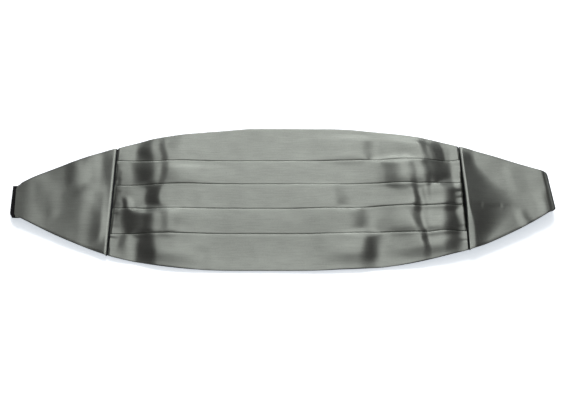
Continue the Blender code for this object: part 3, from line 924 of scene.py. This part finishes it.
def right_turn():
    """Stations of the right wing past its tip: a mark, (x, z) and travel."""
    centre, radius = right_bend(0.0)
    bar = (EYE_RIGHT_X, WING_SATIN + GAP + WIRE / 2)
    fold = WING_SATIN / 2 + GAP + WIRE / 2
    resting = WING_SATIN * 1.5 + GAP
    points = arc(centre, radius, 90, -90, 20) + [(EYE_RIGHT_X, WING_SATIN / 2)]
    points += arc(bar, fold, 270, 90, 12) + [(WING_TAIL_RESTS, resting), (WING_TAIL_END, resting)]
    before = (RIGHT.tip, centre[1] + radius)
    travel = RIGHT.tip
    stations = []
    for point in points:
        travel += math.dist(before, point)
        stations.append(("turn", point, travel))
        before = point
    return stations


def place_wing(station, row):
    """A point of a wing's middle, on its front or past the right tip."""
    if station[0] != "turn":
        x, drop, travel = station
        y, off = wing_point(travel, row)
        return Vector((slanted(x, y), y, wing_surface(x, y) + drop + off))
    _, (x, z), travel = station
    y, off = wing_point(travel, row)
    centre, _ = right_bend(0.0)
    # the cloth's outer face looks away from the bend's centre
    if x > RIGHT.tip:
        normal = Vector((x - centre[0], z - centre[1])).normalized()
    elif travel < RIGHT.tip + 0.020:
        normal = Vector((0.0, -1.0))
    else:
        bar = Vector((EYE_RIGHT_X, WING_SATIN + GAP + WIRE / 2))
        normal = (Vector((x, z)) - bar).normalized() if x <= EYE_RIGHT_X else Vector((0.0, 1.0))
    return Vector((slanted(x, y, under=True) + normal.x * off, y, z + normal.y * off))


# ---------------------------------------------------------------- the backing and the strap


def make_back(lining):
    inset = WING_SATIN / 2 + GAP + LINING / 2
    centre, radius = right_bend(inset)
    flat = [(x, lift(x) + LINING / 2, x, 1.0) for x in spaced(LEFT.tip + BACK_INSET, RIGHT.tip, BACK_STEP)]
    turned = arc(centre, radius, 90, -90, 16) + [(BACK_TAIL_END, centre[1] - radius)]
    travel = RIGHT.tip
    before = flat[-1][:2]
    stations = list(flat)
    for point in turned:
        travel += math.dist(before, point)
        stations.append((*point, travel, 0.0))
        before = point

    def place(station, share):
        x, z, travel, on_top = station
        low = hem(travel, above=False) + BACK_INSET
        high = hem(travel, above=True) - BACK_INSET
        y = mix(low, high, share)
        return Vector((slanted(x, y, under=not on_top), y, z + on_top * crown(x, y)))

    across = [i / BACK_ROWS for i in range(BACK_ROWS + 1)]
    back = make_sheet("lining_back", stations, across, place, LINING, lining)
    finish_piece(back, "back")


def strap_route():
    """Side view of the strap, from its sewn end under the left tip to its end round the slider."""
    under = ELASTIC / 2
    clear = GAP + ELASTIC / 2
    layer = ELASTIC + GAP
    top = lift(LEFT.tip) - SEWN_GAP - ELASTIC / 2
    radius = (top - under) / 2
    centre = (LEFT_END + radius + ELASTIC / 2, under + radius)
    sewn_from = centre[0] + SEWN_STEP / 2
    sewn = [(x, lift(x) - SEWN_GAP - ELASTIC / 2) for x in spaced(STRAP_SEWN_END, sewn_from, SEWN_STEP)]
    bend = [(centre[0], top)] + arc(centre, radius, 90, 270, 16)
    second = under + layer
    third = second + layer
    bar_left = SLIDER_X - SLIDER_BAR / 2 - clear
    bar_right = SLIDER_X + SLIDER_BAR / 2
    below_bar = SLIDER_Z - clear
    above_bar = SLIDER_Z + SLIDER_WALL + clear
    rise = bar_left - layer
    fall = bar_right + SLIDER_SLOT / 2
    turn = HOOK_BAR_X + HOOK_BAR / 2 + clear
    run = rounded([
        (centre[0] + SEWN_STEP / 2, under, 0.0),
        (rise, under, TIGHT_TURN),
        (rise, above_bar + layer, TIGHT_TURN),
        (fall, above_bar + layer, TIGHT_TURN),
        (fall, second, TIGHT_TURN),
        (HOOK_BAR_X - LOOP_OPENS, second, EASY_TURN),
        (HOOK_BAR_X - LOOP_OPEN, third, EASY_TURN),
        (turn, third, TIGHT_TURN),
        (turn, under, TIGHT_TURN),
        (bar_right + TIGHT_TURN * 2, under, TIGHT_TURN),
        (SLIDER_X, below_bar, TIGHT_TURN),
        (bar_left, below_bar, TIGHT_TURN),
        (bar_left, above_bar, TIGHT_TURN),
        (bar_right, above_bar, 0.0),
    ])
    return sewn + bend + run


def strap_shift(x, z, across):
    """How far a point of the strap's left bend moves: it slants, and its under run lies higher up."""
    out = ease((-x - SLANT_FROM) / (-LEFT_END - SLANT_FROM))
    below = 1 - min(1.0, max(0.0, z / lift(LEFT.tip)))
    return STRAP_SLANT * across * out, STRAP_SKEW * below * ease((-x - STRAP_SKEW_FROM) / STRAP_SKEW_RUN)


def make_strap(elastic):
    corners = strap_route()
    route = [Vector(corners[0])]
    for before, after in zip(corners, corners[1:]):
        pieces = max(1, round(math.dist(before, after) / STRAP_PIECE))
        route += [Vector(before).lerp(Vector(after), i / pieces) for i in range(1, pieces + 1)]

    def place(station, share):
        x, z = station
        across = mix(-STRAP_HALF, STRAP_HALF, share)
        along, up = strap_shift(x, z, across)
        corner = STRAP_CORNER * (1 - ease((across + STRAP_HALF) / STRAP_CORNER_UP))
        corner *= ease((LEFT.tip - x) / STRAP_CORNER_RUN)
        return Vector((x + along + corner, strap_middle(x) + across + up, z))

    shares = [0.0, 0.02, 0.045, 0.075, 0.11, 0.15] + [0.2 + 0.75 * i / 10 for i in range(11)] + [1.0]
    strap = make_sheet("elastic_strap", route, shares, place, ELASTIC, elastic)
    finish_piece(strap, "strap")


# ---------------------------------------------------------------- the fittings and the stitches


def make_fitting(node, nickel, edge):
    """The slider or hook: its CAD form with rolled edges, as plate has after tumbling."""
    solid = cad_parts[node]
    made = add_object(f"nickel_{node}", solid.data.copy())
    made.data.materials.clear()
    made.data.materials.append(nickel)
    select_only(made)
    bpy.ops.object.mode_set(mode="EDIT")
    bpy.ops.mesh.select_all(action="SELECT")
    bpy.ops.mesh.remove_doubles(threshold=0.00001)
    bpy.ops.mesh.dissolve_limited(angle_limit=math.radians(1.0))
    bpy.ops.object.mode_set(mode="OBJECT")
    bevel = made.modifiers.new("Rolled edge", "BEVEL")
    bevel.width = edge
    bevel.segments = 3
    bevel.limit_method = "ANGLE"
    bevel.angle_limit = math.radians(40)
    bpy.ops.object.modifier_apply(modifier=bevel.name)
    bpy.ops.object.shade_smooth_by_angle(angle=math.radians(35))
    finish_piece(made, node)


def lining_under(x, y):
    """A point of the lining's underside."""
    return Vector((slanted(x, y), y, lift(x) + crown(x, y)))


def strap_under(x, y):
    """A point of the underside of the strap's sewn end; y is counted from the strap's middle."""
    return Vector((x, strap_middle(x) + y, lift(x) - SEWN_GAP - ELASTIC))


def tail_under(x, y):
    """A point of the underside of the right wing's turned end."""
    return Vector((slanted(x, y, under=True), y, 0.0))


def model_stitch(thread):
    """One stitch along X, a metre long, as thick as the thread, with tapered ends."""
    bpy.ops.object.select_all(action="DESELECT")
    bpy.ops.mesh.primitive_uv_sphere_add(segments=6, ring_count=6, radius=0.5)
    model = bpy.context.object
    bpy.ops.object.mode_set(mode="EDIT")
    bpy.ops.mesh.select_all(action="SELECT")
    bpy.ops.transform.rotate(value=math.radians(90), orient_axis="Y", center_override=(0, 0, 0))
    bpy.ops.transform.resize(value=(1.0, thread, thread), center_override=(0, 0, 0))
    bpy.ops.object.mode_set(mode="OBJECT")
    for vertex in model.data.vertices:
        vertex.co.x = math.copysign(abs(vertex.co.x * 2) ** 0.5 / 2, vertex.co.x)
    bpy.ops.object.shade_smooth()
    return model


def run_stitches(bm, model, place, start, end, sizes):
    """A row of stitches between two (x, y) points of a surface, sunk into its underside."""
    start, end = Vector(start), Vector(end)
    count = max(1, round((end - start).length / (sizes.stitch + sizes.stitch_gap)))
    share = sizes.stitch / (sizes.stitch + sizes.stitch_gap)
    for i in range(count):
        near = place(*start.lerp(end, (i + 0.5 - share / 2) / count))
        far = place(*start.lerp(end, (i + 0.5 + share / 2) / count))
        first = len(bm.verts)
        bm.from_mesh(model.data)
        bm.verts.ensure_lookup_table()
        turn = Vector((1, 0, 0)).rotation_difference(far - near)
        middle = (near + far) / 2 + Vector((0, 0, sizes.thread * (0.5 - THREAD_SHOWS)))
        long = (far - near).length
        for vertex in bm.verts[first:]:
            vertex.co = turn @ Vector((vertex.co.x * long, vertex.co.y, vertex.co.z)) + middle


def add_stitches(name, material, rows, sizes):
    """A joined mesh of stitch rows; each row is a surface and the points that it runs through."""
    model = model_stitch(sizes.thread)
    bm = bmesh.new()
    for place, points in rows:
        for start, end in zip(points, points[1:]):
            run_stitches(bm, model, place, start, end, sizes)
    mesh = bpy.data.meshes.new(name)
    bm.to_mesh(mesh)
    bm.free()
    bpy.data.objects.remove(model)
    mesh.materials.append(material)
    made = add_object(name, mesh)
    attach(made, "root")


def hem_row(above, inset):
    side = -1 if above else 1
    stations = spaced(LEFT.tip + END_ROW, RIGHT.tip - END_ROW, ROW_STEP)
    return [(x, hem(x, above) + side * (BACK_INSET + inset)) for x in stations]


def end_row(x, inset):
    low, high = hem(x, above=False) + BACK_INSET + inset, hem(x, above=True) - BACK_INSET - inset
    return [(x, y) for y in spaced(low, high, ROW_STEP)]


def make_stitches(looks, sizes):
    dark = make_thread("charcoal thread", tinted(looks.lining_colour, 1.8))
    black = make_thread("black thread", tinted(looks.elastic_colour, 1.8))
    silver = make_thread("silver thread", tinted(looks.satin_colour, 0.9))
    lining_rows = [
        (lining_under, hem_row(True, HEM_ROW)),
        (lining_under, hem_row(False, HEM_ROW)),
        (lining_under, end_row(LEFT_SEAM - SEAM_ROW, HEM_ROW)),
        (lining_under, end_row(RIGHT_SEAM + SEAM_ROW, HEM_ROW)),
        (lining_under, end_row(LEFT.tip + END_ROW, HEM_ROW)),
    ]
    add_stitches("stitches_lining", dark, lining_rows, sizes)
    inner = STRAP_SEWN_END - EDGE_ROW
    outer = inner - BOX_LONG
    box = [(inner, -BOX_HALF), (inner, BOX_HALF), (outer, BOX_HALF), (outer, -BOX_HALF), (inner, -BOX_HALF)]
    cross = [(inner, -BOX_HALF), (outer, BOX_HALF)], [(inner, BOX_HALF), (outer, -BOX_HALF)]
    strap_rows = [(strap_under, box)] + [(strap_under, line) for line in cross]
    add_stitches("stitches_strap", black, strap_rows, sizes)
    tail = (WING_TAIL_RESTS + WING_TAIL_END) / 2
    low, high = RIGHT_TIP_MIDDLE - TAIL_HALF + EDGE_ROW, RIGHT_TIP_MIDDLE + TAIL_HALF - EDGE_ROW
    tail_rows = [(tail_under, [(tail, low), (tail, high)])]
    add_stitches("stitches_tail", silver, tail_rows, sizes)


# ---------------------------------------------------------------- the stage


def add_light(name, direction, distance, wide, deep, radiance, only=None):
    """An area light that looks at the origin, and that lights only one collection where that is given."""
    data = bpy.data.lights.new(name, "AREA")
    data.shape = "RECTANGLE"
    data.size = wide
    data.size_y = deep
    data.energy = math.pi * wide * deep * radiance
    light = add_object(name, data)
    light.location = Vector(direction).normalized() * distance
    light.rotation_mode = "QUATERNION"
    light.rotation_quaternion = Vector(direction).to_track_quat("Z", "Y")
    if only:
        light.light_linking.receiver_collection = only


def collection_of(name, member):
    made = bpy.data.collections.new(name)
    made.objects.link(member)
    return made


def make_camera():
    data = bpy.data.cameras.new("camera")
    data.lens = 50.0
    data.sensor_width = 36.0
    camera = add_object("camera", data)
    toward = Vector((0.0, -math.cos(CAMERA_ABOVE), math.sin(CAMERA_ABOVE)))
    camera.location = Vector(CAMERA_LOOKS_AT) + CAMERA_AWAY * toward
    camera.rotation_euler = (math.pi / 2 - CAMERA_ABOVE, 0.0, 0.0)
    bpy.context.scene.camera = camera
    bpy.context.scene.view_settings.view_transform = "Standard"


def make_floor(looks):
    bpy.ops.object.select_all(action="DESELECT")
    bpy.ops.mesh.primitive_circle_add(
        vertices=64, radius=FLOOR_RADIUS, fill_type="NGON", location=(0, 0, -FLOOR_BELOW))
    floor = bpy.context.object
    floor.name = "floor"
    floor.data.materials.append(new_material("pale floor", {
        "Base Color": (0.9, 0.9, 0.9, 1.0), "Roughness": 0.9, "Specular IOR Level": 0.0,
        "Emission Color": (*looks.floor_glow, 1.0), "Emission Strength": 1.0}))
    floor.visible_glossy = False
    return floor


def make_room():
    world = bpy.data.worlds.new("studio")
    bpy.context.scene.world = world
    world.use_nodes = True
    nodes, links = world.node_tree.nodes, world.node_tree.links
    height = nodes.new("ShaderNodeSeparateXYZ")
    links.new(nodes.new("ShaderNodeTexCoord").outputs["Generated"], height.inputs["Vector"])
    walls = nodes.new("ShaderNodeValToRGB")
    for element, position in zip(walls.color_ramp.elements, (0.0, ROOM_DARK_FROM)):
        element.position = position
        element.color = ROOM_DARK
    for position in (ROOM_PALE_FROM, ROOM_PALE_TO):
        walls.color_ramp.elements.new(position).color = ROOM_PALE
    links.new(height.outputs["Z"], walls.inputs["Fac"])
    links.new(walls.outputs["Color"], nodes["Background"].inputs["Color"])
    nodes["Background"].inputs["Strength"].default_value = 1.0


def make_stage(looks):
    make_camera()
    floor = make_floor(looks)
    make_room()
    over = (SOFTBOX_ASIDE, math.cos(SOFTBOX_ABOVE), math.sin(SOFTBOX_ABOVE))
    for part in SOFTBOX:
        wide, light = looks.box_width * part.wide, looks.box_light * part.light
        add_light(part.name, over, part.away, wide, SOFTBOX_DEEP, light)
    cloth = collection_of("all but the table", floor)
    cloth.collection_objects[0].light_linking.link_state = "EXCLUDE"
    add_light(
        "back strip", (0, 0.945, 0.325), 1.2, wide=0.9, deep=0.16, radiance=looks.strip_light, only=cloth)
    table = collection_of("table only", floor)
    add_light("table light", (0, 0.6, 0.8), 1.3, wide=0.45, deep=0.45, radiance=looks.table_light, only=table)
    for side, name, share in ((1, "left", LEFT_SEAM_LIGHT), (-1, "right", 1.0)):
        wing = collection_of(f"{name} wing only", bpy.data.objects[f"satin_wing_{name}"])
        across = (side * 0.66, 0.30, 0.69)
        light = looks.seam_light * share
        add_light(f"{name} seam light", across, 1.2, wide=0.36, deep=1.2, radiance=light, only=wing)


# ---------------------------------------------------------------- add-on


def length_property(**words):
    return FloatProperty(subtype="DISTANCE", unit="LENGTH", **words)


def share_property(**words):
    return FloatProperty(subtype="FACTOR", max=1.0, **words)


def colour_property(**words):
    return FloatVectorProperty(subtype="COLOR", size=3, min=0.0, max=1.0, **words)


def light_property(**words):
    return FloatProperty(min=0.0, **words)


class CummerbundSizes(bpy.types.PropertyGroup):
    """Sizes of the thread and of the metal's edges."""

    thread: length_property(
        name="Thread", description="Thickness of the sewing thread",
        min=0.0001, max=0.001, default=0.00036)
    stitch: length_property(
        name="Stitch", description="Length of one stitch", min=0.001, max=0.006, default=0.0024)
    stitch_gap: length_property(
        name="Stitch gap", description="Gap between two stitches", min=0.0002, max=0.003, default=0.0009)
    metal_edge: length_property(
        name="Metal edge", description="How far the fittings' edges are rounded",
        min=0.0, max=0.0005, default=METAL_EDGE)


class CummerbundLooks(bpy.types.PropertyGroup):
    """Colours and finishes of the cloth, and the strength of the lights."""

    satin_colour: colour_property(
        name="Satin colour", description="Colour of the silver-grey satin", default=(0.330, 0.350, 0.320))
    satin_roughness: share_property(
        name="Satin roughness", description="How soft the satin's gloss is", min=0.05, default=0.40)
    satin_grain: share_property(
        name="Satin grain", description="How much the gloss is drawn out across the floats",
        min=0.0, default=0.78)
    lining_colour: colour_property(
        name="Lining colour", description="Colour of the charcoal lining", default=(0.014, 0.016, 0.021))
    elastic_colour: colour_property(
        name="Elastic colour", description="Colour of the elastic strap", default=(0.012, 0.012, 0.014))
    metal_colour: colour_property(
        name="Metal colour", description="Colour of the nickel plate", default=(0.61, 0.59, 0.56))
    floor_glow: colour_property(
        name="Table glow", description="Light that comes through the table", default=(0.56, 0.60, 0.64))
    box_width: length_property(
        name="Softbox width", description="Width of the softbox behind the garment",
        min=0.1, max=3.0, default=0.80)
    box_light: light_property(
        name="Softbox light", description="Brightness of the softbox", max=20.0, default=1.25)
    strip_light: light_property(
        name="Strip light", description="Brightness of the low strip at the back", max=50.0, default=7.5)
    seam_light: light_property(
        name="Seam light", description="Brightness of the light on the right wing's rolled seam edge",
        max=50.0, default=3.6)
    table_light: light_property(
        name="Table light", description="Brightness of the light on the table", max=90.0, default=18.0)


class CUMMERBUND_OT_pleats(bpy.types.Operator):
    """Make the five pleats of the front"""

    bl_idname = "cummerbund.pleats"
    bl_label = "Pleats"

    def execute(self, context):
        make_pleats(satin_of(context.scene.cummerbund_looks))
        return {"FINISHED"}


class CUMMERBUND_OT_wings(bpy.types.Operator):
    """Make the two plain ends of the front"""

    bl_idname = "cummerbund.wings"
    bl_label = "Wings"

    def execute(self, context):
        make_wings(satin_of(context.scene.cummerbund_looks))
        return {"FINISHED"}


class CUMMERBUND_OT_backing(bpy.types.Operator):
    """Make the lining that the front is sewn to"""

    bl_idname = "cummerbund.backing"
    bl_label = "Backing"

    def execute(self, context):
        make_back(make_lining(context.scene.cummerbund_looks))
        return {"FINISHED"}


class CUMMERBUND_OT_strap(bpy.types.Operator):
    """Make the elastic waist strap"""

    bl_idname = "cummerbund.strap"
    bl_label = "Strap"

    def execute(self, context):
        make_strap(make_elastic(context.scene.cummerbund_looks))
        return {"FINISHED"}


class CUMMERBUND_OT_fittings(bpy.types.Operator):
    """Make the slider and hook, and finish the wire eye"""

    bl_idname = "cummerbund.fittings"
    bl_label = "Fittings"

    def execute(self, context):
        nickel = make_nickel(context.scene.cummerbund_looks)
        for node in ("slider", "hook"):
            make_fitting(node, nickel, context.scene.cummerbund_sizes.metal_edge)
        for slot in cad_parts["eye"].material_slots:
            slot.material = nickel
        return {"FINISHED"}


class CUMMERBUND_OT_stitches(bpy.types.Operator):
    """Sew the lining, the strap's end and the right wing's tail"""

    bl_idname = "cummerbund.stitches"
    bl_label = "Stitches"

    def execute(self, context):
        make_stitches(context.scene.cummerbund_looks, context.scene.cummerbund_sizes)
        return {"FINISHED"}


class CUMMERBUND_OT_stage(bpy.types.Operator):
    """Make the floor, the lights and the camera"""

    bl_idname = "cummerbund.stage"
    bl_label = "Stage"

    def execute(self, context):
        make_stage(context.scene.cummerbund_looks)
        return {"FINISHED"}


class CUMMERBUND_PT_panel(bpy.types.Panel):
    """Lists the sizes, colours and steps"""

    bl_idname = "CUMMERBUND_PT_panel"
    bl_label = "Cummerbund"
    bl_space_type = "VIEW_3D"
    bl_region_type = "UI"
    bl_category = "Cummerbund"

    def draw(self, context):
        for group in (context.scene.cummerbund_sizes, context.scene.cummerbund_looks):
            for name in group.__annotations__:
                self.layout.prop(group, name)
        for operator in OPERATORS:
            self.layout.operator(operator.bl_idname)


OPERATORS = (
    CUMMERBUND_OT_pleats,
    CUMMERBUND_OT_wings,
    CUMMERBUND_OT_backing,
    CUMMERBUND_OT_strap,
    CUMMERBUND_OT_fittings,
    CUMMERBUND_OT_stitches,
    CUMMERBUND_OT_stage,
)
CLASSES = (CummerbundSizes, CummerbundLooks, *OPERATORS, CUMMERBUND_PT_panel)


def register():
    for cls in CLASSES:
        bpy.utils.register_class(cls)
    bpy.types.Scene.cummerbund_sizes = PointerProperty(type=CummerbundSizes)
    bpy.types.Scene.cummerbund_looks = PointerProperty(type=CummerbundLooks)


def unregister():
    del bpy.types.Scene.cummerbund_looks
    del bpy.types.Scene.cummerbund_sizes
    for cls in reversed(CLASSES):
        bpy.utils.unregister_class(cls)


def main():
    register()
    bpy.ops.cummerbund.pleats()
    bpy.ops.cummerbund.wings()
    bpy.ops.cummerbund.backing()
    bpy.ops.cummerbund.strap()
    bpy.ops.cummerbund.fittings()
    bpy.ops.cummerbund.stitches()
    bpy.ops.cummerbund.stage()


if __name__ == "__main__":
    main()
